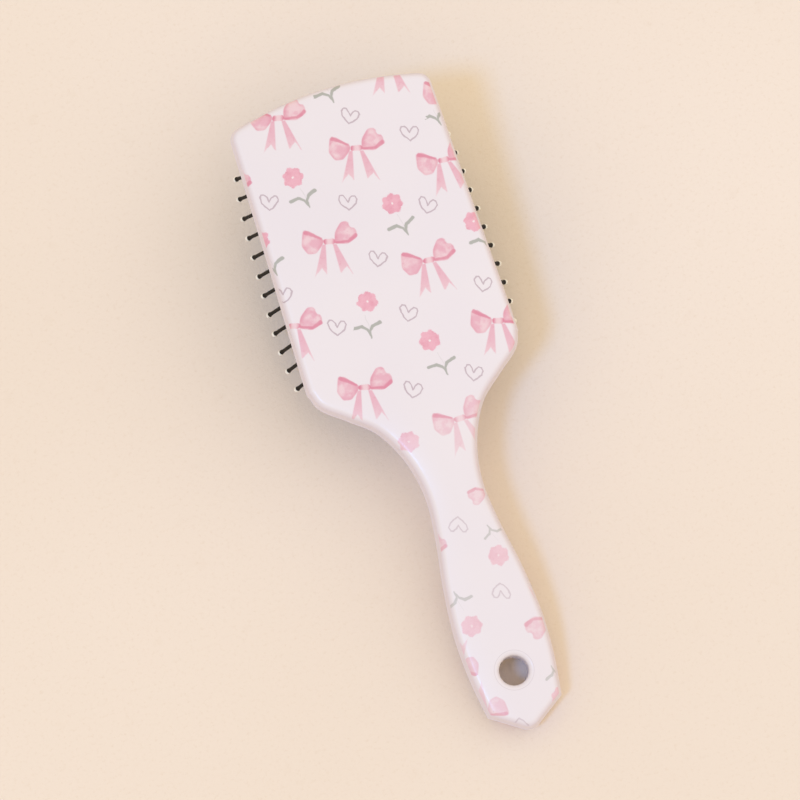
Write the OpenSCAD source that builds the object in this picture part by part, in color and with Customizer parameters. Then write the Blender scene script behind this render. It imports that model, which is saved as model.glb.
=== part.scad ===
// Square paddle hairbrush, lying on its pins with the end of its handle on the table.
// Every part is drawn in a flat frame: X across, +Y towards the head's top, +Z out of the printed back,
// with the joint plane of the two shells at Z = 0. rest() then tips it onto pins and handle.

/* [Head] */
// Width of the head just below its top corners
head_top_w = 76.8; // [70:0.2:80]
// Width of the head above the shoulders
head_low_w = 81; // [76:0.2:84]
// Rise of the arched top edge across the head
top_arch = 5.6; // [3:0.1:7]
// Distance from the head's top to its shoulders
head_len = 103; // [100:0.5:106]

/* [Handle] */
// Width of the neck at its narrowest
neck_w = 22; // [20:0.2:24]
// Greatest width of the grip
grip_w = 33.4; // [30:0.2:36]
// Width at the corners of the pointed end
end_w = 28.2; // [26:0.2:31]
// Distance from the head's top to the tip of the handle
brush_len = 247; // [244:1:252]
// Radius of the hanging hole
hole_r = 5.4; // [4:0.1:6]
// Radius of the rounding that opens the hanging hole
hole_round = 1.9; // [1:0.1:2.2]

/* [Cushion] */
// Half length of the opening for the cushion
pad_half_len = 48; // [46:0.5:50]
// Half width of the opening for the cushion, half way along
pad_half_w = 35; // [34:0.25:35.5]
// Thickness of the rubber
rubber = 1.8; // [1.4:0.1:2]
// Radius of the dome across the head
dome_rx = 75; // [72:1:84]
// Radius of the dome along the head
dome_ry = 280; // [240:10:400]
// How far the cushion can be pressed in
press_travel = 3; // [2:0.25:3]

/* [Pins] */
// Number of columns of pins, side by side
columns = 10; // [8:2:10]
// Number of rows of pins; the two outermost columns leave out the first, at the head's top corners
rows = 13; // [11:2:13]
// Spacing of the columns at the rubber
column_pitch = 6.95; // [6.8:0.05:7.1]
// Spacing of the rows at the rubber
row_pitch = 7; // [6.6:0.1:7]
// Length of a pin from the rubber to the centre of its ball tip
pin_len = 21; // [18:0.5:23]
// Radius of the ball tips
ball_r = 1.1; // [0.9:0.05:1.3]
// How much further the pins lean out than the dome's own normal
splay_gain = 1.34; // [1:0.02:1.44]

/* [Hidden] */
COLUMN_NAMES = [for (i = [0 : columns - 1]) "abcdefghjk"[i]];

pad_mid = 55.5;        // distance from the head's top to the middle of the cushion
curve_steps = 3;       // points per span of a smooth curve
row_steps = 6;         // facets across the back
draft = 0.8;           // how far the side walls lean in
edge_r = 2.2;          // width of the rounding along the edges
side_part = 0.62;      // share of the height taken by the side wall
wall = 2.2;            // side walls of the shells
lip = 1.8;             // thickness of the frame that the cushion sits behind
frame_z = 4.6;         // depth of the flat frame round the cushion
fit_gap = 0.3;         // clearance round the moving cushion
flange = 1.3;          // how far the cushion's flange reaches behind the frame
flange_z = 1.5;        // thickness of that flange
pad_corner = 9;        // corner radius of the cushion
pad_taper = 0.0005;    // the cushion narrows towards the head's top as the head does
pin_taper = 0.0012;    // and so do the columns of pins
pin_bow = 0.065;       // the columns bow inwards at both ends by this share
dome_z = 14.5;         // crown of the dome below the joint plane
head_pocket_z = press_travel + 1.2;  // ceiling of the air space in the back shell
back_hollow = 4;       // depth of the hollow in each half of the handle
front_hollow = 4.8;
hole_at = 225;         // distance from the head's top to the hanging hole
boss_wall = 2.4;       // wall of the tube round the hanging hole
post_at = [122, 150, 186];  // distances from the head's top to the locating posts
post_r = 1.8;
pin_hole_r = 1.5;      // clearance hole that lets a pin rock
pin_root_r = 0.8;
pin_waist_r = 0.68;
pin_end_r = 0.9;
pin_flare = 1.6;       // length over which a pin widens to its ball
ball_seat = 0.6;       // distance from the ball's centre to the flat that meets the pin
pin_head_r = 1.9;
pin_head_z = 0.8;
pin_head_gap = 0.9;    // clearance between a pin's head and the rubber
vent_r = 1.25;
split_at = 112;        // distance from the head's top to where a shell's two nodes meet
big = 400;

// ---- curves ----

function catmull(a, b, c, d, t) =
    0.5 * (2 * b + (c - a) * t + (2 * a - 5 * b + 4 * c - d) * t * t + (3 * b - a - 3 * c + d) * t * t * t);

// A smooth curve through the points p, with n points in each span.
function through(p, n = curve_steps) = concat(
    [for (i = [0 : len(p) - 2], j = [0 : n - 1])
        catmull(p[max(i - 1, 0)], p[i], p[i + 1], p[min(i + 2, len(p) - 1)], j / n)],
    [p[len(p) - 1]]);

function bend(a, b, c, t) = (1 - t) * (1 - t) * a + 2 * t * (1 - t) * b + t * t * c;
function unit(v) = v / norm(v);

// Half the outline as [distance from the top, half width], from the shoulders' side to the handle's corner.
side_line = through([
    [9.4, head_top_w / 2 + 0.2],
    [56, (head_top_w + head_low_w) / 4],
    [head_len - 2, head_low_w / 2],
    [head_len + 4.6, head_low_w / 2 - 0.5],
    [head_len + 10.4, head_low_w / 2 - 3.2],
    [head_len + 17, head_low_w / 2 - 11.3],
    [head_len + 25, neck_w / 2 + 9.2],
    [head_len + 37.5, neck_w / 2 + 2.8],
    [head_len + 52, neck_w / 2],
    [head_len + 68, neck_w / 2 + 1.2],
    [head_len + 86, neck_w / 2 + 4.1],
    [head_len + 104.5, grip_w / 2],
    [head_len + 120.5, grip_w / 2 - 0.6],
    [brush_len - 8.6, end_w / 2]]);
arch_end = head_top_w / 2 - 3.6;
function arch(x) = top_arch * pow(2 * x / head_top_w, 2);

// Right half of the outline as [x, y], from the middle of the top edge to the tip of the handle.
right_half = [for (p = concat(
    [for (i = [0 : 5]) let (x = arch_end * i / 6) [arch(x), x]],
    [for (i = [0 : 3]) bend([arch(arch_end), arch_end], [arch(head_top_w / 2), head_top_w / 2],
                            side_line[0], i / 4)],
    side_line,
    [[brush_len - 0.6, 2.4], [brush_len, 0]])) [p[1], pad_mid - p[0]]];

function both_halves(r) = concat(r, [for (i = [len(r) - 2 : -1 : 1]) [-r[i][0], r[i][1]]]);
outline = both_halves(right_half);

// The closed line p, which runs clockwise, moved inwards by d.
function inset(p, d) = [for (i = [0 : len(p) - 1])
    let (n = len(p), u = unit(p[i] - p[(i + n - 1) % n]), v = unit(p[(i + 1) % n] - p[i]),
         m = unit([u[1] + v[1], -u[0] - v[0]]))
    p[i] + m * d / (m * [u[1], -u[0]])];

// The part of the closed line p that lies in the handle, below distance s from the head's top.
function below(p, s) = [for (q = p) if (q[1] < pad_mid - s) q];

// Rounded outline of the cushion, grown by g.
function pad_line(g) = [for (c = [[1, 1], [1, -1], [-1, -1], [-1, 1]], a = [0 : 10 : 90])
    let (t = c[0] == c[1] ? 90 - a : a,
         x = c[0] * (pad_half_w - pad_corner + (pad_corner + g) * cos(t)),
         y = c[1] * (pad_half_len - pad_corner + (pad_corner + g) * sin(t)))
    [x * (1 - pad_taper * y), y]];

// ---- thickness of the body along its length, as [distance from the top, height] ----

back_line = through([[-2, 4.9], [9, 6.6], [56, 8], [104, 7.4], [130, 7], [156, 6.8],
                     [206, 7.4], [236, 6.2], [brush_len + 2, 4.8]]);
front_line = through([[-2, 4], [7, frame_z], [56, frame_z], [104, frame_z + 0.2], [118, 7.4], [132, 8.8],
                      [156, 9.2], [206, 9.2], [236, 7.8], [brush_len + 2, 6]]);
width_line = concat([[0, head_top_w / 2]], side_line);

// Height of the surface at [x, y]: it falls away from the middle line to the sides.
function height(line, drop, p) =
    let (s = pad_mid - p[1])
    lookup(s, line) - lookup(s, drop) * pow(p[0] / lookup(s, width_line), 2);
back_drop = [[0, 2.4], [100, 2.2], [140, 1.8], [236, 1.6]];
front_drop = [[0, 0], [104, 0], [140, 1.8], [236, 1.6]];

// Points up the side wall and round the edge, as [distance from the outline, share of the height].
edge_rings = concat([[0, 0]], [for (a = [0, 30, 60, 90])
    [draft + edge_r * (1 - cos(a)), side_part + (1 - side_part) * sin(a)]]);
function wall_points(line, drop) = [for (r = edge_rings, p = inset(outline, r[0]))
    [p[0], p[1], height(line, drop, p) * r[1]]];

// A solid that stands on Z = 0, with the body's outline, a rounded edge and a domed top.
module pillow(line, drop) {
    n = len(right_half);
    count = len(outline);
    walls = wall_points(line, drop);
    rim = inset(outline, draft + edge_r);
    inner = [for (i = [1 : n - 2], j = [1 : row_steps - 1])
        let (p = [rim[i][0] * (1 - 2 * j / row_steps), rim[i][1]]) [p[0], p[1], height(line, drop, p)]];
    top = len(walls) - count;
    function at(i, j) = i == 0 || i == n - 1 || j == 0 ? top + i
        : j == row_steps ? top + count - i
        : len(walls) + (i - 1) * (row_steps - 1) + j - 1;
    polyhedron(concat(walls, inner), concat(
        [[0, count - 1, 1], [n - 2, count - n + 2, n - 1]],
        [for (i = [1 : n - 3]) [i, count - i, count - i - 1, i + 1]],
        [for (k = [0 : len(edge_rings) - 2], i = [0 : count - 1]) let (j = (i + 1) % count)
            [k * count + i, k * count + j, (k + 1) * count + j, (k + 1) * count + i]],
        [for (j = [0 : row_steps - 1]) [at(0, 0), at(1, j), at(1, j + 1)]],
        [for (i = [1 : n - 3], j = [0 : row_steps - 1]) [at(i, j), at(i + 1, j), at(i + 1, j + 1), at(i, j + 1)]],
        [for (j = [0 : row_steps - 1]) [at(n - 2, j), at(n - 1, 0), at(n - 2, j + 1)]]), convexity = 8);
}

// ---- the rest pose ----

// Where a pin's root is on the dome, and how it leans.
tube = dome_ry - dome_rx;
function dome_reach(x) = tube + sqrt(dome_rx * dome_rx - x * x);
function root(x, y) = [x, y, dome_ry - dome_z - sqrt(pow(dome_reach(x), 2) - y * y)];
function lean(x) = splay_gain * asin(x / dome_rx);
function tip_over(x, y) = asin(y / dome_reach(x));
function ball_at(x, y) = root(x, y)
    - pin_len * [-sin(lean(x)), -cos(lean(x)) * sin(tip_over(x, y)), cos(lean(x)) * cos(tip_over(x, y))];
half_field = (rows - 1) / 2 * row_pitch;
function row_y(j) = half_field - j * row_pitch;
function rows_of(i) = [(i == 0 || i == columns - 1 ? 1 : 0) : rows - 1];
function pin_x(i, y) = (i - (columns - 1) / 2) * column_pitch
    * (1 - pin_taper * y - pin_bow * pow(y / half_field, 4));
balls = [for (i = [0 : columns - 1], j = rows_of(i)) let (y = row_y(j)) ball_at(pin_x(i, y), y)];

// The brush tips until the lowest edge of the handle's end and a ball both touch the table.
back_points = wall_points(back_line, back_drop);
front_points = [for (p = wall_points(front_line, front_drop)) [p[0], p[1], -p[2]]];
heels = [for (p = front_points) if (p[1] < pad_mid - brush_len + 16) p];
function tilt_for(b, h) = asin(ball_r / norm([b[2] - h[2], b[1] - h[1]])) - atan2(b[2] - h[2], b[1] - h[1]);
rest_tilt = max([for (b = balls) min([for (h = heels) tilt_for(b, h)])]);
function rest_y(p) = p[1] * cos(rest_tilt) - p[2] * sin(rest_tilt);
function rest_z(p) = p[1] * sin(rest_tilt) + p[2] * cos(rest_tilt);
rest_lift = ball_r - min([for (b = balls) rest_z(b)]);
rest_shift = -(max([for (p = front_points) rest_y(p)]) + min([for (p = back_points) rest_y(p)])) / 2;
echo(rest_tilt = rest_tilt, rest_lift = rest_lift, rest_shift = rest_shift);

module rest() {
    translate([0, rest_shift, rest_lift]) rotate([rest_tilt, 0, 0]) children();
}

// ---- body ----

module slab(points, z0, z1) {
    translate([0, 0, z0]) linear_extrude(z1 - z0) polygon(points);
}

// The hanging hole, with its rounded mouth at height z.
module hole(z) {
    cylinder(r = hole_r, h = big, center = true, $fn = 64);
    rotate_extrude($fn = 64) polygon(concat(
        [[0, z - hole_round]],
        [for (a = [0 : 15 : 90]) [hole_r + hole_round * (1 - cos(a)), z - hole_round * (1 - sin(a))]],
        [[hole_r + hole_round, z + 2], [0, z + 2]]));
}

module at_station(s) { translate([0, pad_mid - s, 0]) children(); }

// The hollow of one half of the handle, which leaves the tube round the hole and the posts' bosses.
module handle_hollow(depth) {
    difference() {
        slab(below(inset(outline, wall), head_len + 12), -1, depth);
        at_station(hole_at) cylinder(r = hole_r + boss_wall, h = big, center = true, $fn = 48);
        for (s = post_at) at_station(s) cylinder(r = post_r + 1.4, h = big, center = true, $fn = 32);
    }
}

// The printed back: one moulding for the back of the head and of the handle.
module back_shell() {
    difference() {
        pillow(back_line, back_drop);
        handle_hollow(back_hollow);
        slab(pad_line(flange + fit_gap), -1, head_pocket_z);
        slab(pad_line(-9), -1, head_pocket_z + 1.4);
        at_station(hole_at) hole(lookup(hole_at, back_line));
    }
    for (s = post_at) at_station(s) translate([0, 0, -2.6]) cylinder(r = post_r - 0.05, h = 3, $fn = 32);
}

// The front: the frame round the cushion and the front half of the handle.
module front_shell() {
    mirror([0, 0, 1]) difference() {
        pillow(front_line, front_drop);
        handle_hollow(front_hollow);
        slab(pad_line(flange + fit_gap), -1, frame_z - lip);
        slab(pad_line(0), -1, frame_z + 2);
        at_station(hole_at) hole(lookup(hole_at, front_line));
        for (s = post_at) at_station(s) translate([0, 0, -1]) cylinder(r = post_r, h = 4, $fn = 32);
    }
}

// Each moulding is two nodes, which meet below the cushion.
module head_part() {
    color("#f3ebee") intersection() {
        children();
        translate([-big / 2, pad_mid - split_at, -big / 2]) cube(big);
    }
}

module handle_part() {
    color("#f3ebee") intersection() {
        children();
        translate([-big / 2, pad_mid - split_at - big, -big / 2]) cube(big);
    }
}

module back_head() { head_part() back_shell(); }
module back_handle() { handle_part() back_shell(); }
module front_head() { head_part() front_shell(); }
module front_handle() { handle_part() front_shell(); }

// ---- cushion ----

module dome(shrink) {
    translate([0, 0, dome_ry - dome_z]) rotate([0, 90, 0])
        rotate_extrude($fn = 90) translate([tube, 0]) circle(r = dome_rx - shrink, $fn = 90);
}

module at_pin(i, j) {
    y = row_y(j);
    x = pin_x(i, y);
    translate(root(x, y)) rotate([tip_over(x, y), 0, 0]) rotate([0, -lean(x), 0]) children();
}

// Rubber dome with a flange behind the frame, a clearance hole for each pin and an air vent.
module cushion_pad() {
    color("#1d1b1c") difference() {
        union() {
            slab(pad_line(flange), lip - frame_z, lip - frame_z + flange_z);
            intersection() {
                slab(pad_line(-fit_gap), -20, lip - frame_z);
                dome(0);
            }
        }
        intersection() {
            slab(pad_line(-fit_gap - rubber), -20, 1);
            dome(rubber);
        }
        for (i = [0 : columns - 1], j = rows_of(i))
            at_pin(i, j) cylinder(r = pin_hole_r, h = 3 * rubber, center = true, $fn = 24);
        translate([0, 0, -dome_z]) cylinder(r = vent_r, h = 3 * rubber, center = true, $fn = 24);
    }
}

// ---- pins ----

// One moulded pin: a flat head under the rubber, a tapering shank and a widened end that carries the ball.
module pin() {
    head_z = rubber + pin_head_gap;
    rotate_extrude($fn = 24) polygon([
        [0, head_z + pin_head_z], [pin_head_r, head_z + pin_head_z], [pin_head_r, head_z], [pin_root_r, head_z],
        [pin_root_r, 0], [pin_waist_r, pin_flare + ball_seat - pin_len], [pin_end_r, ball_seat - pin_len],
        [0, ball_seat - pin_len]]);
}

module ball_tip() {
    translate([0, 0, -pin_len]) intersection() {
        sphere(r = ball_r, $fn = 32);
        translate([-5, -5, ball_seat - 10]) cube(10);
    }
}

module pins(i) {
    color("#15110f") for (j = rows_of(i)) at_pin(i, j) pin();
}

module ball_tips(i) {
    color("#f4efe4") for (j = rows_of(i)) at_pin(i, j) ball_tip();
}

rest() back_head();
rest() back_handle();
rest() front_head();
rest() front_handle();
rest() cushion_pad();
for (i = [0 : columns - 1]) {
    rest() pins(i);
    rest() ball_tips(i);
}
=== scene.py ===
"""The looks of a square paddle hairbrush that lies on its pins: printed body, cushion, pins and ball tips.

Shapes are worked out in millimetres in the brush's own flat frame (X across, Y towards the head's top, Z out
of the printed back, the joint of the two shells at Z = 0) and then tipped into the row frame in metres.
"""

import bmesh
import bpy
import math
import numpy as np
from mathutils import Matrix, Vector, geometry


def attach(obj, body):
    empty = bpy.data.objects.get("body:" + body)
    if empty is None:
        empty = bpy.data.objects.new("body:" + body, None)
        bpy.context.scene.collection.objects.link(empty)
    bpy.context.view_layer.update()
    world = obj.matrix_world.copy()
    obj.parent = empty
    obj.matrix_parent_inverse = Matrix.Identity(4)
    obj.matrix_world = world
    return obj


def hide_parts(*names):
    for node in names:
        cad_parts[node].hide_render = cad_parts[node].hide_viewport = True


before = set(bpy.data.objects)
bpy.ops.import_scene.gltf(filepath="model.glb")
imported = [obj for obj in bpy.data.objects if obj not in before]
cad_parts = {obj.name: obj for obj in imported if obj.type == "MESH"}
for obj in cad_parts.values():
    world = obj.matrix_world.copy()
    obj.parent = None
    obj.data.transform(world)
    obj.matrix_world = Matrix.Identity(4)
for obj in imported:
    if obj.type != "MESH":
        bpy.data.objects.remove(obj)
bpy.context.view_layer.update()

# ---- the rest pose, from the part ----

TILT = math.radians(10.3755)
SHIFT, LIFT = 66.8881, 40.684  # mm along the table and up

# ---- sizes in mm ----

TOP_W, LOW_W, NECK_W, GRIP_W, END_W = 76.8, 81.0, 22.0, 33.4, 28.2
HEAD_LEN, BRUSH_LEN, TOP_ARCH = 103.0, 247.0, 5.6
PAD_MID, PAD_HALF_LEN, PAD_HALF_W, PAD_CORNER, PAD_TAPER = 55.5, 48.0, 35.0, 9.0, 0.0005
HOLE_AT, HOLE_R, HOLE_ROUND = 225.0, 5.4, 1.9
DRAFT, EDGE_R, SIDE_SHARE = 0.8, 2.2, 0.62
DOME_RX, DOME_RY, DOME_Z = 75.0, 280.0, 14.5  # the cushion's two radii, and its crown in front of Z = 0
COLUMNS, ROWS, COLUMN_PITCH, ROW_PITCH, PIN_TAPER, PIN_BOW = 10, 13, 6.95, 7.0, 0.0012, 0.065
FRAME_Z, LIP, GAP, POCKET_Z = 4.6, 1.8, 0.3, 4.2
RECESS, RIM_ROUND = 1.6, 0.9  # how far the hollow reaches past the window, and the window's rounding
ARCH_END = 3.6  # how far short of the corner the top edge's arch stops
NOSE_W, NOSE_DROP = 4.8, 0.6  # the blunt nose at the handle's end

SIDE_POINTS = [
    (9.4, TOP_W / 2 + 0.2), (56, (TOP_W + LOW_W) / 4), (HEAD_LEN - 2, LOW_W / 2),
    (HEAD_LEN + 4.6, LOW_W / 2 - 0.5), (HEAD_LEN + 10.4, LOW_W / 2 - 3.2),
    (HEAD_LEN + 17, LOW_W / 2 - 11.3),
    (HEAD_LEN + 25, NECK_W / 2 + 9.2), (HEAD_LEN + 37.5, NECK_W / 2 + 2.8), (HEAD_LEN + 52, NECK_W / 2),
    (HEAD_LEN + 68, NECK_W / 2 + 1.2), (HEAD_LEN + 86, NECK_W / 2 + 4.1), (HEAD_LEN + 104.5, GRIP_W / 2),
    (HEAD_LEN + 120.5, GRIP_W / 2 - 0.6), (BRUSH_LEN - 8.6, END_W / 2)]
BACK_Z = [(-2, 4.9), (9, 6.6), (56, 8), (104, 7.4), (130, 7), (156, 6.8), (206, 7.4), (236, 6.2),
          (BRUSH_LEN + 2, 4.8)]
FRONT_Z = [(-2, 4), (7, FRAME_Z), (56, FRAME_Z), (104, FRAME_Z + 0.2), (118, 7.4), (132, 8.8), (156, 9.2),
           (206, 9.2), (236, 7.8), (BRUSH_LEN + 2, 6)]
BACK_DROP = [(0, 2.4), (100, 2.2), (140, 1.8), (236, 1.6)]
FRONT_DROP = [(0, 0), (104, 0), (140, 1.8), (236, 1.6)]


# ---- lines ----

def smooth_line(points, steps=10):
    """The part's own smooth curve through the points."""
    p = np.array(points, float)
    found = []
    for i in range(len(p) - 1):
        a, b, c, d = p[max(i - 1, 0)], p[i], p[i + 1], p[min(i + 2, len(p) - 1)]
        for t in np.arange(steps) / steps:
            found.append(0.5 * (2 * b + (c - a) * t + (2 * a - 5 * b + 4 * c - d) * t**2
                                + (3 * b - a - 3 * c + d) * t**3))
    return np.array(found + [p[-1]])


def evenly(points, spacing):
    """Points along the line about that far apart, with both ends kept."""
    p = np.array(points, float)
    along = np.concatenate([[0], np.cumsum(np.linalg.norm(np.diff(p, axis=0), axis=1))])
    at = np.linspace(0, along[-1], max(2, int(round(along[-1] / spacing)) + 1))
    return np.stack([np.interp(at, along, p[:, k]) for k in (0, 1)], 1)


def outline():
    """Closed outline of the body, clockwise from the middle of the top edge."""
    side = smooth_line(SIDE_POINTS)
    half_top = TOP_W / 2 - ARCH_END
    arch = [(TOP_ARCH * (2 * x / TOP_W)**2, x) for x in np.linspace(0, half_top, 30)]
    corner = [((1 - t)**2 * arch[-1][0] + 2 * t * (1 - t) * TOP_ARCH + t * t * side[0][0],
               (1 - t)**2 * half_top + 2 * t * (1 - t) * TOP_W / 2 + t * t * side[0][1])
              for t in np.linspace(0, 1, 9)[1:]]
    right = np.concatenate([evenly(arch, 1.2), evenly([arch[-1]] + corner, 0.9)[1:], evenly(side, 1.2)[1:],
                            evenly([side[-1], (BRUSH_LEN - NOSE_DROP, NOSE_W / 2), (BRUSH_LEN, 0)],
                                   1.3)[1:]])
    right = np.stack([right[:, 1], PAD_MID - right[:, 0]], 1)
    left = right[-2:0:-1] * (-1, 1)
    return np.concatenate([right, left])


def inset(p, d):
    """The closed clockwise line p moved inwards by d."""
    before, after = p - np.roll(p, 1, 0), np.roll(p, -1, 0) - p
    before /= np.linalg.norm(before, axis=1)[:, None]
    after /= np.linalg.norm(after, axis=1)[:, None]
    m = np.stack([before[:, 1] + after[:, 1], -before[:, 0] - after[:, 0]], 1)
    m /= np.linalg.norm(m, axis=1)[:, None]
    return p + m * (d / (m[:, 0] * before[:, 1] - m[:, 1] * before[:, 0]))[:, None]


def pad_line(grow):
    """Rounded outline of the cushion's opening, clockwise, grown by that much."""
    r, points = PAD_CORNER + grow, []
    for sx, sy in ((1, 1), (1, -1), (-1, -1), (-1, 1)):
        for a in np.linspace(0, 90, 13):
            t = math.radians(90 - a if sx == sy else a)
            points.append((sx * (PAD_HALF_W - PAD_CORNER + r * math.cos(t)),
                           sy * (PAD_HALF_LEN - PAD_CORNER + r * math.sin(t))))
    line = []
    for a, b in zip(points, points[1:] + points[:1]):
        count = max(1, int(math.dist(a, b) / 1.5)) if math.dist(a, b) > 3 + abs(grow) else 1
        line += [(a[0] + (b[0] - a[0]) * k / count, a[1] + (b[1] - a[1]) * k / count) for k in range(count)]
    line = np.array(line)
    line[:, 0] *= 1 - PAD_TAPER * line[:, 1]
    return line


def circle(r, count=72):
    a = np.arange(count) * 2 * math.pi / count
    return np.stack([r * np.cos(a), PAD_MID - HOLE_AT - r * np.sin(a)], 1)


WIDTHS = np.array([(0, TOP_W / 2)] + [tuple(p) for p in smooth_line(SIDE_POINTS)])


def height(p, line, drop):
    """Height of a shell's face over the joint plane at each point."""
    s = PAD_MID - p[:, 1]
    line = smooth_line(line)
    drop = np.array(drop, float)
    across = p[:, 0] / np.interp(s, WIDTHS[:, 0], WIDTHS[:, 1])
    return np.interp(s, line[:, 0], line[:, 1]) - np.interp(s, drop[:, 0], drop[:, 1]) * across**2


# ---- meshes ----

class Skin:
    """Collects a mesh from rings and filled regions, with values at each point, and welds it at the end."""

    def __init__(self):
        self.points, self.faces, self.values = [], [], []

    def add(self, xyz, value):
        start = len(self.points)
        self.points += [tuple(p) for p in xyz]
        self.values += [tuple(v) for v in value]
        return list(range(start, len(self.points)))

    def ring(self, xy, z, value):
        xy = np.asarray(xy)
        z = np.broadcast_to(z, len(xy))
        return self.add(np.column_stack([xy, z]), np.broadcast_to(value, (len(xy), 3)))

    def bridge(self, a, b):
        n = len(a)
        self.faces += [(a[i], a[(i + 1) % n], b[(i + 1) % n], b[i]) for i in range(n)]

    def fill(self, loops, z_at, value_at, spacing=0):
        """Triangles between the first loop and the others inside it, with a grid of points if asked."""
        flat = [np.asarray(loop) for loop in loops]
        points, edges = [], []
        for loop in flat:
            start = len(points)
            points += [tuple(p) for p in loop]
            edges += [(start + i, start + (i + 1) % len(loop)) for i in range(len(loop))]
        extra = grid_inside(flat, spacing) if spacing else []
        points += [tuple(p) for p in extra]
        out = geometry.delaunay_2d_cdt([Vector(p) for p in points], edges, [], 0, 1e-6)
        at = np.array([tuple(p) for p in out[0]])
        ids = self.add(np.column_stack([at, z_at(at)]), value_at(at))
        middle = np.array([at[list(f)].mean(0) for f in out[2]])
        keep = inside(middle, flat[0])
        for loop in flat[1:]:
            keep &= ~inside(middle, loop)
        self.faces += [tuple(ids[k] for k in f) for f, k in zip(out[2], keep) if k]

    def build(self, name, sharp):
        """The object, its mesh in the row frame and in metres. The mesh keeps its flat places and values."""
        p = np.array(self.points)
        c, s = math.cos(TILT), math.sin(TILT)
        placed = np.column_stack([p[:, 0], p[:, 1] * c - p[:, 2] * s + SHIFT,
                                  p[:, 1] * s + p[:, 2] * c + LIFT])
        mesh = bpy.data.meshes.new(name)
        mesh.from_pydata((placed / 1000).tolist(), [], self.faces)
        for key, data in (("flat", p), ("place", np.array(self.values))):
            layer = mesh.attributes.new(key, "FLOAT_VECTOR", "POINT")
            layer.data.foreach_set("vector", data.astype(np.float32).ravel())
        b = bmesh.new()
        b.from_mesh(mesh)
        bmesh.ops.remove_doubles(b, verts=b.verts, dist=2e-6)
        bmesh.ops.dissolve_degenerate(b, edges=b.edges, dist=1e-7)
        bmesh.ops.recalc_face_normals(b, faces=b.faces)
        b.to_mesh(mesh)
        b.free()
        mesh.shade_smooth()
        mesh.set_sharp_from_angle(angle=math.radians(sharp))
        made = bpy.data.objects.new(name, mesh)
        bpy.context.scene.collection.objects.link(made)
        return made


def inside(points, loop):
    """Which points are inside the closed loop."""
    x, y = points[:, 0][:, None], points[:, 1][:, None]
    a, b = loop, np.roll(loop, -1, 0)
    crosses = (a[:, 1] > y) != (b[:, 1] > y)
    with np.errstate(divide="ignore", invalid="ignore"):
        at = a[:, 0] + (y - a[:, 1]) * (b[:, 0] - a[:, 0]) / (b[:, 1] - a[:, 1])
    return (np.sum(crosses & (x < at), axis=1) % 2) == 1


def away_from(points, loop):
    """Distance of each point from the nearest point of the loop."""
    return np.min(np.linalg.norm(points[:, None] - loop[None], axis=2), axis=1)


def grid_inside(loops, spacing):
    lo, hi = loops[0].min(0), loops[0].max(0)
    ys = np.arange(lo[1], hi[1], spacing * 0.866)
    grid = np.array([(x + (k % 2) * spacing / 2, y) for k, y in enumerate(ys)
                     for x in np.arange(lo[0], hi[0], spacing)])
    grid = grid[inside(grid, loops[0])]
    for loop in loops[1:]:
        grid = grid[~inside(grid, loop)]
    for loop in loops:
        grid = grid[away_from(grid, loop) > 0.55 * spacing]
    return grid


FAR = 50.0  # stands for "nowhere near" in the values


def body_values(points, edge):
    """(distance in from the outline, distance from the hole's axis, strength of the print)"""
    hole = np.hypot(points[:, 0], points[:, 1] - PAD_MID + HOLE_AT)
    faded = 1 - 0.4 * np.clip((PAD_MID - points[:, 1] - 116) / 20, 0, 1)
    return np.column_stack([np.broadcast_to(edge, len(points)), hole, faded])


def shell(name, line, drop, side, opening):
    """One moulded half of the body, closed, with the hole through its handle. side is 1 for the back and -1
    for the front. opening(skin, side) adds the inner walls and returns the loops they cut from the face and
    from the base."""
    skin, out = Skin(), outline()

    def z_at(p):
        return side * height(p, line, drop)

    def walls(p, share):
        return side * height(p, line, drop) * share

    # from the joint groove up the side wall and round the edge
    rings = []
    for d, z in ((0.35, 0.0), (0.04, 0.28)):
        p = inset(out, d)
        rings.append(skin.add(np.column_stack([p, np.full(len(p), side * z)]), body_values(p, 0.0)))
    for t in (0.12, 0.35, 0.6, 0.85):
        p = inset(out, DRAFT * t)
        rings.append(skin.add(np.column_stack([p, walls(p, SIDE_SHARE * t)]), body_values(p, DRAFT * t)))
    for a in np.radians(np.linspace(0, 90, 9)):
        d = DRAFT + EDGE_R * (1 - math.cos(a))
        p = inset(out, d)
        rings.append(skin.add(np.column_stack([p, walls(p, SIDE_SHARE + (1 - SIDE_SHARE) * math.sin(a))]),
                              body_values(p, d)))
    for a, b in zip(rings, rings[1:]):
        skin.bridge(a, b)

    # the hole: a rounded mouth, then a straight wall to the joint plane
    mouth = []
    for a in np.radians(np.linspace(90, 0, 8)):
        p = circle(HOLE_R + HOLE_ROUND * (1 - math.cos(a)))
        outer = circle(HOLE_R + HOLE_ROUND)
        z = side * (height(outer, line, drop) - HOLE_ROUND * (1 - math.sin(a)))
        mouth.append(skin.add(np.column_stack([p, z]), body_values(p, FAR)))
    p = circle(HOLE_R)
    mouth.append(skin.add(np.column_stack([p, np.zeros(len(p))]), body_values(p, FAR)))
    for a, b in zip(mouth, mouth[1:]):
        skin.bridge(a, b)

    face_loops, base_loops = opening(skin, side)
    rim, base = inset(out, DRAFT + EDGE_R), inset(out, 0.35)
    skin.fill([rim, circle(HOLE_R + HOLE_ROUND)] + face_loops, z_at,
              lambda q: body_values(q, np.minimum(DRAFT + EDGE_R + away_from(q, rim), FAR)), spacing=1.15)
    skin.fill([base, circle(HOLE_R)] + base_loops, lambda q: np.zeros(len(q)), lambda q: body_values(q, 0.0))
    return skin.build(name, 32)


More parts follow.
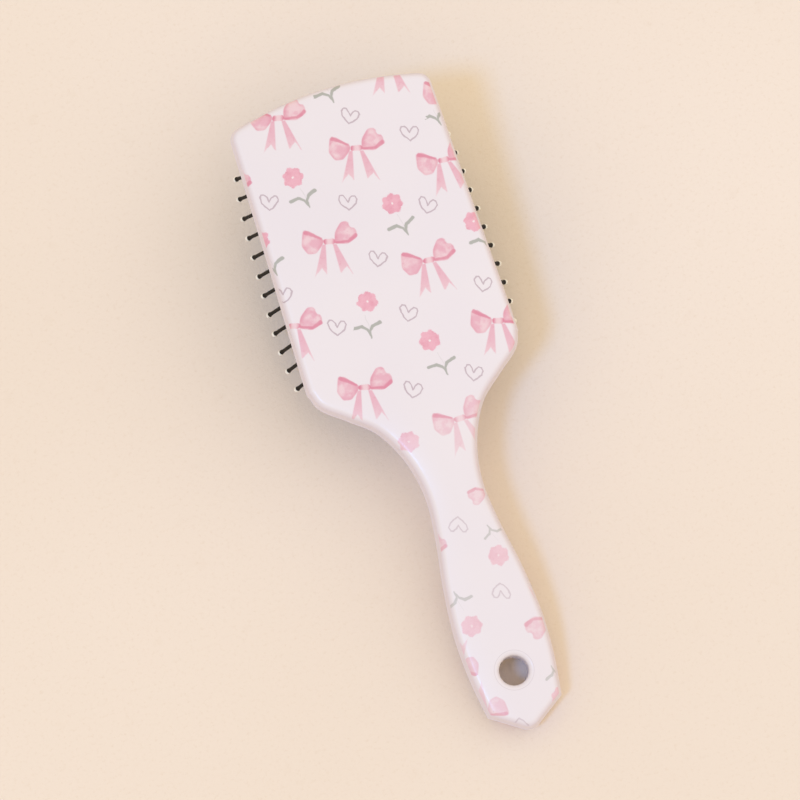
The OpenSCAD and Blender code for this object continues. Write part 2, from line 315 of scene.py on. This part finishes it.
def pocket(skin, side):
    """Air space over the cushion, in the back shell only from the joint plane up."""
    line = pad_line(RECESS)
    foot = skin.ring(line, 0.0, (0, FAR, 0))
    top = skin.ring(line, side * POCKET_Z, (0, FAR, 0))
    skin.bridge(foot, top)
    skin.fill([line], lambda q: np.full(len(q), side * POCKET_Z), lambda q: body_values(q, 0.0))
    return [], [line]


def window(skin, side):
    """The opening that the cushion shows through: a rounded rim, a lip and a wider recess behind it."""
    rings = []
    for grow, z in ((RECESS, 0.0), (RECESS, FRAME_Z - LIP), (0.0, FRAME_Z - LIP),
                    (0.0, FRAME_Z - RIM_ROUND)):
        rings.append(skin.ring(pad_line(grow), side * z, (0, FAR, 0)))
    for a in np.radians((22, 45, 67, 90)):
        line = pad_line(RIM_ROUND * (1 - math.cos(a)))
        rings.append(skin.ring(line, side * (FRAME_Z - RIM_ROUND * (1 - math.sin(a))), (0, FAR, 0)))
    for a, b in zip(rings, rings[1:]):
        skin.bridge(a, b)
    return [pad_line(RIM_ROUND)], [pad_line(RECESS)]


# ---- cushion ----

COLLAR_R, COLLAR_H, VENT_R, VENT_DEPTH = 1.9, 0.42, 1.3, 1.6


def dome_z(p):
    """Height of the cushion's outer surface, which bulges towards -Z."""
    reach = DOME_RY - DOME_RX + np.sqrt(DOME_RX**2 - p[:, 0]**2)
    return DOME_RY - DOME_Z - np.sqrt(reach**2 - p[:, 1]**2)


def pin_roots():
    """Where the pins stand. The outer columns start a row lower, and the columns close up at their ends."""
    half, found = (ROWS - 1) / 2 * ROW_PITCH, []
    for i in range(COLUMNS):
        for j in range(1 if i in (0, COLUMNS - 1) else 0, ROWS):
            y = half - j * ROW_PITCH
            spread = COLUMN_PITCH * (1 - PIN_TAPER * y - PIN_BOW * (y / half)**4)
            found.append(((i - (COLUMNS - 1) / 2) * spread, y))
    return np.array(found)


def cushion():
    """The rubber dome, with a small moulded collar round each pin, a rounded shoulder and an air vent."""
    skin, roots = Skin(), pin_roots()
    edge = pad_line(-GAP)
    inner = pad_line(-GAP - 0.8)
    twelfths, sixteenths = np.arange(12) * math.pi / 6, np.arange(16) * math.pi / 8
    collar = np.array([(x + r * math.cos(a), y + r * math.sin(a))
                       for x, y in roots for r in (0.9, 1.35, COLLAR_R) for a in twelfths])
    vent = np.array([(r * math.cos(a), r * math.sin(a)) for a in sixteenths for r in (1.25, 1.7)])

    def z_at(p):
        near = away_from(p, roots)
        ring = COLLAR_H * np.clip((COLLAR_R - near) / 0.75, 0, 1)
        hole = np.where(np.hypot(p[:, 0], p[:, 1]) < VENT_R, VENT_DEPTH, 0)
        return dome_z(p) - ring + hole

    def values(p):
        return np.column_stack([away_from(p, edge), away_from(p, roots), np.zeros(len(p))])

    low = skin.add(np.column_stack([edge, np.full(len(edge), LIP - FRAME_Z)]), values(edge))
    side_z = dome_z(inner)
    rings = [low]
    for grow, down in ((0.0, -0.8), (0.23, -0.23), (0.8, 0.0)):
        p = pad_line(-GAP - grow)
        rings.append(skin.add(np.column_stack([p, side_z - down]), values(p)))
    for a, b in zip(rings, rings[1:]):
        skin.bridge(a, b)
    points = np.concatenate([collar, vent])
    keep = inside(points, inner) & (away_from(points, inner) > 0.4)
    grid = grid_inside([inner], 1.6)
    grid = grid[(away_from(grid, roots) > 2.5) & (np.hypot(grid[:, 0], grid[:, 1]) > 2.3)]
    out = geometry.delaunay_2d_cdt(
        [Vector(p) for p in np.concatenate([inner, points[keep], grid])],
        [(i, (i + 1) % len(inner)) for i in range(len(inner))], [], 0, 1e-6)
    at = np.array([tuple(p) for p in out[0]])
    ids = skin.add(np.column_stack([at, z_at(at)]), values(at))
    middle = np.array([at[list(f)].mean(0) for f in out[2]])
    skin.faces += [tuple(ids[k] for k in f) for f, ok in zip(out[2], inside(middle, inner)) if ok]
    skin.fill([edge], lambda q: np.full(len(q), LIP - FRAME_Z), values)
    return skin.build("cushion_skin", 40)


# ---- the printed pattern: (kind, across, distance from the head's top, turn in degrees, scale) ----

BOW, FLOWER, LEAVES, HEART = 1, 2, 3, 4
LEAN = -17.0  # the pattern stands at a slant to the brush
BACK_PRINT = [
    (BOW, -19.6, 6.3, 0, 1), (BOW, 4.2, 25.7, 0, 1), (BOW, 33.4, 39.4, 10, 1), (BOW, -15.8, 55.8, 0, 1),
    (BOW, 16.6, 73.3, 8, 1), (BOW, -37.5, 81.3, -6, 1), (BOW, 33.9, 102.0, 0, 1), (BOW, -19.9, 110.7, 0, 1),
    (BOW, 9.6, 132.0, 14, 1), (BOW, 24.9, -1.9, 0, 1), (BOW, -46.4, 25.1, 0, 1), (BOW, 43.6, 15.9, 0, 1),
    (BOW, 12.0, 160.5, 170, 0.8), (BOW, -18.5, 173.9, 0, 0.9), (BOW, 19.0, 211.5, 180, 1),
    (BOW, -15.5, 237.0, 205, 0.9), (BOW, -19.5, 217.6, 180, 0.8),
    (FLOWER, -21.2, 29.1, 0, 1), (FLOWER, 10.4, 49.3, 40, 1), (FLOWER, -9.3, 81.0, 80, 1),
    (FLOWER, 7.9, 101.5, 20, 1), (FLOWER, 37.0, 64.4, 60, 1), (FLOWER, -39.9, 47.4, 30, 1),
    (FLOWER, -10.7, 134.3, 10, 1), (FLOWER, 7.4, 183.7, 70, 1), (FLOWER, -9.7, 205.2, 50, 1),
    (FLOWER, 13.5, 239.4, 0, 1),
    (LEAVES, -18.5, 41.5, 0, 1), (LEAVES, 12.5, 62.2, 0, 1), (LEAVES, -11.9, 94.2, -12, 1),
    (LEAVES, 10.4, 115.3, -4, 1), (LEAVES, 1.8, 7.0, 0, 1), (LEAVES, 36.7, 26.6, 0, 1),
    (LEAVES, 39.6, 75.8, 0, 1), (LEAVES, -37.4, 61.6, 0, 1), (LEAVES, 7.0, 172.0, 185, 0.75),
    (LEAVES, -12.0, 191.3, 180, 0.9),
    (LEAVES, 13.3, 227.5, 175, 0.8),
    (HEART, 5.6, 13.8, -14, 1), (HEART, 24.6, 26.3, 0, 1), (HEART, -32.2, 35.2, -6, 1),
    (HEART, -4.8, 44.2, 0, 1),
    (HEART, 22.5, 54.0, -16, 1), (HEART, -0.9, 67.4, -8, 1), (HEART, -22.8, 86.8, -6, 1),
    (HEART, 3.6, 89.7, -14, 1),
    (HEART, 32.9, 87.6, -10, 1), (HEART, -37.7, 69.3, 0, 1), (HEART, -3.5, 117.0, -12, 1),
    (HEART, 19.6, 117.7, -10, 1), (HEART, -3.0, 168.6, 175, 1), (HEART, 4.3, 196.2, 178, 1),
    (HEART, -3.9, 244.8, 182, 1)]
FRONT_PRINT = [(kind, -x, (s + 61.0) % (BRUSH_LEN + 8) - 4, turn + 9, scale)
               for kind, x, s, turn, scale in BACK_PRINT]
REACH = {BOW: 11.0, FLOWER: 4.4, LEAVES: 5.4, HEART: 4.2}


def lay_print(obj, layout, flip):
    """Gives each face its nearest motif, and each of its corners the place in that motif, in millimetres."""
    mesh = obj.data
    flat = np.zeros(len(mesh.vertices) * 3, np.float32)
    mesh.attributes["flat"].data.foreach_get("vector", flat)
    flat = flat.reshape(-1, 3).astype(float)
    corner_vertex = np.zeros(len(mesh.loops), np.int32)
    mesh.loops.foreach_get("vertex_index", corner_vertex)
    starts, totals = np.zeros(len(mesh.polygons), np.int32), np.zeros(len(mesh.polygons), np.int32)
    mesh.polygons.foreach_get("loop_start", starts)
    mesh.polygons.foreach_get("loop_total", totals)
    face_of = np.repeat(np.arange(len(starts)), totals)
    xy = np.column_stack([flat[:, 0] * flip, flat[:, 1]])[corner_vertex]
    middle = np.stack([np.bincount(face_of, xy[:, k]) / totals for k in (0, 1)], 1)
    motif = np.array([(k, x * flip, PAD_MID - s, turn, size) for k, x, s, turn, size in layout], float)
    reach = np.array([REACH[int(k)] * size for k, size in motif[:, (0, 4)]])
    centre = motif[:, 1:3].copy()
    turned = np.radians(LEAN + motif[:, 3])
    lift = np.where(motif[:, 0] == LEAVES, 3.2, np.where(motif[:, 0] == BOW, -3.0, 0))
    centre += np.stack([-np.sin(turned), np.cos(turned)], 1) * lift[:, None]
    near = np.argmin(np.linalg.norm(middle[:, None] - centre[None], axis=2) / reach, axis=1)
    own = near[face_of]
    d = (xy - motif[own, 1:3]) / motif[own, 4][:, None]
    c, s = np.cos(turned[own]), np.sin(turned[own])
    local = np.column_stack([d[:, 0] * c + d[:, 1] * s, -d[:, 0] * s + d[:, 1] * c, np.ones(len(d))])
    mesh.attributes.new("motif_at", "FLOAT_VECTOR", "CORNER").data.foreach_set(
        "vector", local.astype(np.float32).ravel())
    rng = np.random.default_rng(7)
    for key, per_motif in (("motif_kind", motif[:, 0]), ("motif_seed", rng.uniform(0, 40, len(motif)))):
        layer = mesh.attributes.new(key, "FLOAT", "FACE")
        layer.data.foreach_set("value", per_motif[near].astype(np.float32))


# ---- shader arithmetic ----

class Num:
    """A number in a shader. Arithmetic on it adds the nodes that work it out."""

    def __init__(self, tree, socket):
        self.tree, self.socket = tree, socket

    def op(self, kind, *others, clamp=False):
        node = self.tree.nodes.new("ShaderNodeMath")
        node.operation, node.use_clamp = kind, clamp
        for k, value in enumerate((self, *others)):
            if isinstance(value, Num):
                self.tree.links.new(value.socket, node.inputs[k])
            else:
                node.inputs[k].default_value = value
        return Num(self.tree, node.outputs[0])

    def __add__(self, o): return self.op("ADD", o)
    def __sub__(self, o): return self.op("SUBTRACT", o)
    def __mul__(self, o): return self.op("MULTIPLY", o)
    def times_plus(self, a, b): return self.op("MULTIPLY_ADD", a, b)
    def least(self, o, soft=0.0): return self.op("SMOOTH_MIN", o, soft) if soft else self.op("MINIMUM", o)
    def most(self, o, soft=0.0): return self.op("SMOOTH_MAX", o, soft) if soft else self.op("MAXIMUM", o)
    def size(self): return self.op("ABSOLUTE")
    def flip(self): return self.times_plus(-1.0, 1.0)

    def ramp(self, low, high):
        """0 below low and 1 above high, smoothly between; high may be the lower."""
        node = self.tree.nodes.new("ShaderNodeMapRange")
        node.interpolation_type = "SMOOTHSTEP"
        self.tree.links.new(self.socket, node.inputs["Value"])
        a, b, x, y = (low, high, 0.0, 1.0) if low < high else (high, low, 1.0, 0.0)
        for key, value in (("From Min", a), ("From Max", b), ("To Min", x), ("To Max", y)):
            node.inputs[key].default_value = value
        return Num(self.tree, node.outputs["Result"])


class Shader:
    """A material under construction, with the nodes that every material here uses."""

    def __init__(self, name):
        self.material = bpy.data.materials.new(name)
        self.material.use_nodes = True
        self.tree = self.material.node_tree
        self.principled = self.tree.nodes["Principled BSDF"]

    def node(self, kind, **settings):
        made = self.tree.nodes.new(kind)
        for key, value in settings.items():
            setattr(made, key, value)
        return made

    def attribute(self, name, output="Fac"):
        return self.node("ShaderNodeAttribute", attribute_name=name).outputs[output]

    def number(self, socket):
        return Num(self.tree, socket)

    def parts(self, socket):
        split = self.node("ShaderNodeSeparateXYZ")
        self.tree.links.new(socket, split.inputs[0])
        return [Num(self.tree, s) for s in split.outputs]

    def place(self):
        return self.node("ShaderNodeTexCoord").outputs["Object"]

    def noise(self, at, scale, detail=2.0, rough=0.5):
        made = self.node("ShaderNodeTexNoise")
        made.inputs["Scale"].default_value = scale
        made.inputs["Detail"].default_value = detail
        made.inputs["Roughness"].default_value = rough
        self.tree.links.new(at, made.inputs["Vector"])
        return Num(self.tree, made.outputs["Fac"])

    def mix(self, under, over, share):
        """The colour under, covered by the colour over in that share. Colours are sockets or (r, g, b)."""
        made = self.node("ShaderNodeMix", data_type="RGBA")
        for key, value in ((6, under), (7, over)):
            if isinstance(value, tuple):
                made.inputs[key].default_value = (*value, 1)
            else:
                self.tree.links.new(value, made.inputs[key])
        if isinstance(share, Num):
            self.tree.links.new(share.socket, made.inputs[0])
        else:
            made.inputs[0].default_value = share
        return made.outputs[2]

    def bump(self, amount, distance, strength=1.0):
        made = self.node("ShaderNodeBump")
        made.inputs["Distance"].default_value = distance
        made.inputs["Strength"].default_value = strength
        self.tree.links.new(amount.socket, made.inputs["Height"])
        self.tree.links.new(made.outputs[0], self.principled.inputs["Normal"])

    def finish(self, colour, roughness, **constants):
        p = self.principled
        if isinstance(colour, tuple):
            p.inputs["Base Color"].default_value = (*colour, 1)
        else:
            self.tree.links.new(colour, p.inputs["Base Color"])
        if isinstance(roughness, Num):
            self.tree.links.new(roughness.socket, p.inputs["Roughness"])
        else:
            p.inputs["Roughness"].default_value = roughness
        for key, value in constants.items():
            p.inputs[key.replace("_", " ")].default_value = value
        return self.material


def srgb(r, g, b):
    """A display colour, 0 to 255, as the linear colour that shaders use."""
    shares = (r / 255, g / 255, b / 255)
    return tuple(c / 12.92 if c <= 0.04045 else ((c + 0.055) / 1.055)**2.4 for c in shares)


def stroke(u, v, a, b, ra, rb):
    """Distance outside a brush stroke from a to b whose half width goes from ra to rb."""
    bx, by = b[0] - a[0], b[1] - a[1]
    length = bx * bx + by * by
    pu, pv = u - a[0], v - a[1]
    h = (pu * (bx / length)).op("ADD", pv * (by / length), clamp=True)
    du, dv = h.times_plus(-bx, pu), h.times_plus(-by, pv)
    return (du * du + dv * dv).op("SQRT") - h.times_plus(rb - ra, ra)


def convex(sh, at, points, soft):
    """Distance outside a rounded convex shape, its corners given anticlockwise; at is (u, v, 1)."""
    found = None
    for (ax, ay), (bx, by) in zip(points, points[1:] + points[:1]):
        n = (by - ay, ax - bx)
        size = math.hypot(*n)
        dot = sh.node("ShaderNodeVectorMath", operation="DOT_PRODUCT")
        sh.tree.links.new(at, dot.inputs[0])
        dot.inputs[1].default_value = (n[0] / size, n[1] / size, -(n[0] * ax + n[1] * ay) / size)
        side = Num(sh.tree, dot.outputs["Value"])
        found = side if found is None else found.most(side, soft)
    return found


BOW_PINK, BOW_LIGHT, BOW_DARK = srgb(232, 175, 193), srgb(239, 206, 215), srgb(220, 127, 155)
FLOWER_PINK, FLOWER_DARK, LEAF_GREY = srgb(238, 178, 196), srgb(226, 146, 170), srgb(172, 174, 168)
HEART_LINE, PRINT_WHITE = srgb(186, 166, 178), srgb(246, 238, 240)


def printed(sh, under, strength):
    """The colour under with the pattern printed on it: bows, flowers, leaves and hearts, in watercolour."""
    at = sh.attribute("motif_at", "Vector")
    kind = sh.number(sh.attribute("motif_kind"))
    seed = sh.number(sh.attribute("motif_seed"))
    shifted = sh.node("ShaderNodeVectorMath", operation="ADD")
    joined = sh.node("ShaderNodeCombineXYZ")
    for k in range(3):
        sh.tree.links.new(seed.socket, joined.inputs[k])
    sh.tree.links.new(at, shifted.inputs[0])
    sh.tree.links.new(joined.outputs[0], shifted.inputs[1])
    where = shifted.outputs[0]
    wash, grain, wobble = sh.noise(where, 0.28, 3.0), sh.noise(where, 1.6, 3.0), sh.noise(where, 0.5, 1.0)
    u0, v0, _ = sh.parts(at)
    u, v = u0 + (wobble - 0.5) * 0.9, v0 + (wash - 0.5) * 0.9

    def chosen(which):
        return (kind - which).size().ramp(0.4, 0.3)

    def paint(colour, over, distance, edge, share, which):
        cover = distance.ramp(edge, -edge) * share * chosen(which) * strength
        return sh.mix(colour, over, cover)

    # bow: a broad left loop, a higher right loop with a nick, two forked tails and a knot
    left = convex(sh, at, [(-2.0, 0.7), (-7.6, 4.2), (-9.7, 3.7), (-10.1, -1.6), (-7.8, -4.6), (-4.8, -4.4),
                           (-2.2, -0.9)], 1.0)
    right = convex(sh, at, [(2.0, -0.7), (6.9, -0.9), (10.2, 1.6), (9.9, 4.2), (6.3, 7.6), (4.2, 7.2),
                            (2.0, 3.4)], 1.0)
    nick_u, nick_v = u - 8.9, v - 6.7
    right = right.most((nick_u * nick_u + nick_v * nick_v).op("SQRT").times_plus(-1.0, 1.7))
    tails = None
    for points, middle, foot in (
            ([(-1.3, -0.9), (-2.6, -1.2), (-5.3, -13.0), (-0.9, -11.9)], -2.8, -9.7),
            ([(2.6, -0.9), (1.3, -1.0), (4.0, -11.4), (8.6, -12.0)], 6.2, -9.1)):
        fork = ((u - middle).size() * -1.25 + foot - v) * 0.63
        tail = convex(sh, at, points, 0.3).most(fork)
        tails = tail if tails is None else tails.least(tail)
    knot = stroke(u, v, (-1.2, 0.0), (1.2, 0.1), 1.0, 1.1)
    fold = stroke(u, v, (-8.7, 3.5), (-3.0, 1.1), 0.75, 0.35)
    fold = fold.least(stroke(u, v, (9.6, 2.2), (7.0, 0.1), 0.75, 0.5))
    fold = fold.least(stroke(u, v, (7.0, 0.1), (2.6, -0.2), 0.5, 0.4))
    loops = left.least(right)
    streak = sh.noise(where, 0.8, 2.0, 0.6)
    body = sh.mix(BOW_LIGHT, BOW_PINK, wash.ramp(0.35, 0.62))
    body = sh.mix(body, BOW_DARK, (loops.ramp(-1.3, -0.1) * 0.25 + streak.ramp(0.55, 0.75) * 0.22))
    body = sh.mix(body, BOW_DARK, (u.size()).ramp(4.6, 1.8) * 0.45)
    colour = paint(under, body, loops, 0.28, 0.92, BOW)
    tail_body = sh.mix(BOW_PINK, BOW_LIGHT, v.ramp(-5.0, -13.0) * 0.7)
    tail_body = sh.mix(tail_body, BOW_DARK, streak.ramp(0.5, 0.75) * 0.3)
    knot_body = sh.mix(BOW_LIGHT, BOW_DARK, (u - 0.2).size().ramp(0.4, 2.1))
    colour = paint(colour, tail_body, tails, 0.28, 0.86, BOW)
    colour = paint(colour, BOW_DARK, fold, 0.3, 0.72, BOW)
    colour = paint(colour, knot_body, knot, 0.25, 0.95, BOW)

    # flower: a ragged disc of petals with a pale eye
    angle = v.op("ARCTAN2", u)
    radius = (u * u + v * v).op("SQRT")
    petals = (angle * 7.0).op("SINE").times_plus(0.28, grain.times_plus(0.9, 3.2))
    bloom = sh.mix(FLOWER_PINK, FLOWER_DARK, wash.ramp(0.42, 0.68) * 0.55 + grain.ramp(0.5, 0.7) * 0.3)
    colour = paint(colour, bloom, radius - petals, 0.3, 0.94, FLOWER)
    colour = paint(colour, PRINT_WHITE, radius - 0.42, 0.2, 0.85, FLOWER)

    # leaves: two curved strokes from one foot, under a stem as thin as a hair
    leaf = None
    for bends, widths in (([(0.0, 0.0), (-1.1, 2.2), (-0.6, 4.3), (1.7, 6.3)], (0.2, 0.42, 0.6, 0.66)),
                          ([(0.0, 0.0), (-2.0, 2.5), (-4.3, 3.3), (-7.1, 2.1)], (0.2, 0.42, 0.6, 0.66))):
        for k in range(3):
            part = stroke(u, v, bends[k], bends[k + 1], widths[k], widths[k + 1])
            leaf = part if leaf is None else leaf.least(part, 0.2)
    stem = stroke(u, v, (-0.9, 2.6), (-4.2, 8.0), 0.08, 0.08)
    colour = paint(colour, LEAF_GREY, stem, 0.18, 0.3, LEAVES)
    colour = paint(colour, LEAF_GREY, leaf, 0.22, 0.9, LEAVES)

    # heart: a pencil outline, open-handed and a little uneven
    half = (v * 0.12 + u).size()
    bends = [(0.0, 0.2), (0.75, 1.7), (1.7, 2.6), (2.75, 2.5), (3.35, 1.4), (2.75, -0.3), (1.4, -1.7),
             (0.0, -2.7)]
    line = None
    for a, b in zip(bends, bends[1:]):
        part = stroke(half, v, a, b, 0.0, 0.0)
        line = part if line is None else line.least(part)
    colour = paint(colour, HEART_LINE, line - grain.times_plus(0.22, 0.14), 0.16, 0.78, HEART)
    return colour


BODY_WHITE, BODY_LILAC, BODY_SIDE_SHADE = srgb(238, 231, 237), srgb(234, 227, 236), srgb(224, 213, 226)
HOLE_RIM_SHADE = srgb(196, 184, 192)


def shell_material(name):
    """Glossy moulded plastic with the film print on its face, cut off at the edges and round the hole; the
    side walls and the hole's rim are painted darker as shade.
    """
    sh = Shader(name)
    edge, hole, strength = sh.parts(sh.attribute("place", "Vector"))
    at = sh.place()
    tint = sh.noise(at, 22.0, 2.0)
    plain = sh.mix(BODY_WHITE, BODY_LILAC, tint.ramp(0.35, 0.7) * 0.5)
    # painted shade: the side walls and the edge's rounding are mixed towards a darker lilac, as if turned
    # away from the light
    plain = sh.mix(plain, BODY_SIDE_SHADE, edge.ramp(2.6, 0.9) * 0.75)
    face = printed(sh, plain, strength)
    on_face = edge.ramp(1.0, 1.25) * hole.ramp(7.25, 7.4)
    # painted shade: a thin darker grey-lilac line where the face turns down into the hole's rounded mouth
    plain = sh.mix(plain, HOLE_RIM_SHADE, (hole - 7.35).size().ramp(0.35, 0.05) * 0.5)
    colour = sh.mix(plain, face, on_face)
    scuffs = sh.noise(at, 900.0, 4.0, 0.65)
    ripple = sh.noise(at, 130.0, 2.0)
    sh.bump(ripple * 0.7 + scuffs * 0.05, 0.00006)
    return sh.finish(colour, scuffs.times_plus(0.10, 0.33), IOR=1.48, Coat_Weight=0.12, Coat_Roughness=0.12)


def rubber_material():
    """Satin black rubber, with fine mould texture, a faint bloom and painted shade round the pin roots."""
    sh = Shader("cushion_rubber")
    at = sh.place()
    fine, broad = sh.noise(at, 2600.0, 3.0, 0.6), sh.noise(at, 60.0, 2.0)
    edge, root, _ = sh.parts(sh.attribute("place", "Vector"))
    colour = sh.mix(srgb(38, 35, 35), srgb(52, 48, 47), broad.ramp(0.35, 0.7))
    # painted shade: the rubber darkens round each pin root
    colour = sh.mix(colour, srgb(26, 24, 24), root.ramp(2.3, 1.4) * 0.6)
    sh.bump(fine, 0.00005)
    return sh.finish(colour, broad.times_plus(0.16, 0.46), IOR=1.5)


def pin_material():
    """Dark brown-black nylon, with drawn streaks."""
    sh = Shader("pin_nylon")
    at = sh.place()
    streak, fine = sh.noise(at, 420.0, 3.0), sh.noise(at, 2400.0, 2.0)
    colour = sh.mix(srgb(12, 8, 6), srgb(30, 22, 17), streak.ramp(0.35, 0.7))
    sh.bump(fine, 0.00002)
    return sh.finish(colour, streak.times_plus(0.15, 0.36), IOR=1.45, Specular_IOR_Level=0.3)


def tip_material():
    """Ivory moulded plastic."""
    sh = Shader("ball_tip")
    at = sh.place()
    cloud, fine = sh.noise(at, 500.0, 3.0), sh.noise(at, 3000.0, 2.0)
    colour = sh.mix(srgb(250, 248, 243), srgb(240, 235, 226), cloud.ramp(0.35, 0.7))
    sh.bump(fine, 0.00001)
    return sh.finish(colour, cloud.times_plus(0.12, 0.3), IOR=1.5)


def floor_material():
    """Cream paper with a faint grain."""
    sh = Shader("table_paper")
    at = sh.place()
    broad, grain, fibre = sh.noise(at, 3.0, 2.0), sh.noise(at, 700.0, 4.0, 0.7), sh.noise(at, 120.0, 3.0)
    colour = sh.mix(srgb(245, 231, 219), srgb(241, 226, 212), broad.ramp(0.3, 0.7))
    colour = sh.mix(colour, srgb(228, 208, 188), grain.ramp(0.5, 0.78) * 0.42 + fibre.ramp(0.6, 0.8) * 0.12)
    sh.bump(grain * 0.6 + fibre * 0.4, 0.00015)
    return sh.finish(colour, 0.85, IOR=1.45)


# ---- the object ----

back = shell("printed_back_shell", BACK_Z, BACK_DROP, 1, pocket)
front = shell("printed_front_shell", FRONT_Z, FRONT_DROP, -1, window)
lay_print(back, BACK_PRINT, 1)
lay_print(front, FRONT_PRINT, -1)
pad = cushion()
for obj, material, body, nodes, slot in (
        (back, shell_material("printed_back"), "shell", ("back_head", "back_handle"), "printed_back"),
        (front, shell_material("printed_front"), "shell", ("front_head", "front_handle"), "printed_front"),
        (pad, rubber_material(), "cushion", ("cushion_pad",), "cushion_rubber")):
    obj.data.materials.append(material)
    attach(obj, body)
    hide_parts(*nodes)

pin_look, tip_look = pin_material(), tip_material()
for name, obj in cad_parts.items():
    look = pin_look if name.startswith("pins_") else tip_look if name.startswith("ball_tips_") else None
    if look:
        obj.data.materials.clear()
        obj.data.materials.append(look)

# ---- table, light and camera ----

bpy.ops.mesh.primitive_plane_add(size=3.0, location=(0, 0, 0))
table = bpy.context.active_object
table.name = "table"
table.data.materials.append(floor_material())

world = bpy.data.worlds.new("room")
bpy.context.scene.world = world
world.use_nodes = True
world.node_tree.nodes["Background"].inputs["Color"].default_value = (1.0, 0.85, 0.56, 1)
world.node_tree.nodes["Background"].inputs["Strength"].default_value = 0.915


def area_light(name, at, size, power, colour):
    light = bpy.data.lights.new(name, "AREA")
    light.shape, light.size, light.energy, light.color = "SQUARE", size, power, colour
    obj = bpy.data.objects.new(name, light)
    obj.location = at
    obj.rotation_euler = (Vector((0, 0, 0.03)) - Vector(at)).to_track_quat("-Z", "Y").to_euler()
    bpy.context.scene.collection.objects.link(obj)


sun = bpy.data.lights.new("window_light", "SUN")
sun.energy, sun.angle, sun.color = 1.0, math.radians(11), (0.15, 0.42, 1.0)
sun_obj = bpy.data.objects.new("window_light", sun)
sun_obj.rotation_euler = Vector((0.50, 0.29, -1.0)).to_track_quat("-Z", "Y").to_euler()
bpy.context.scene.collection.objects.link(sun_obj)
area_light("soft_side", (0.9, -0.15, 1.3), 1.8, 6.5, (0.45, 0.6, 1.0))

AIM = Vector((0, 0, 0.030))
AZIMUTH, ELEVATION, ROLL, DISTANCE = math.radians(14.05), math.radians(72.58), math.radians(-4.15), 1.8
away = Vector((-math.sin(AZIMUTH) * math.cos(ELEVATION), -math.cos(AZIMUTH) * math.cos(ELEVATION),
               math.sin(ELEVATION)))
across = (-away).cross(Vector((0, 0, 1))).normalized()
upward = across.cross(-away)
across, upward = (across * math.cos(ROLL) + upward * math.sin(ROLL),
                  upward * math.cos(ROLL) - across * math.sin(ROLL))
camera = bpy.data.objects.new("camera", bpy.data.cameras.new("camera"))
camera.data.lens, camera.data.sensor_width = 222.37, 36
camera.data.shift_x, camera.data.shift_y = -0.0336, 0.0069
camera.data.clip_start, camera.data.clip_end = 0.05, 20
camera.matrix_world = Matrix.Translation(AIM + away * DISTANCE) @ Matrix(
    (across, upward, away)).transposed().to_4x4()
bpy.context.scene.collection.objects.link(camera)
bpy.context.scene.camera = camera
bpy.context.scene.view_settings.view_transform = "Standard"

print("faces", {o.name: len(o.data.polygons) for o in (back, front, pad)})
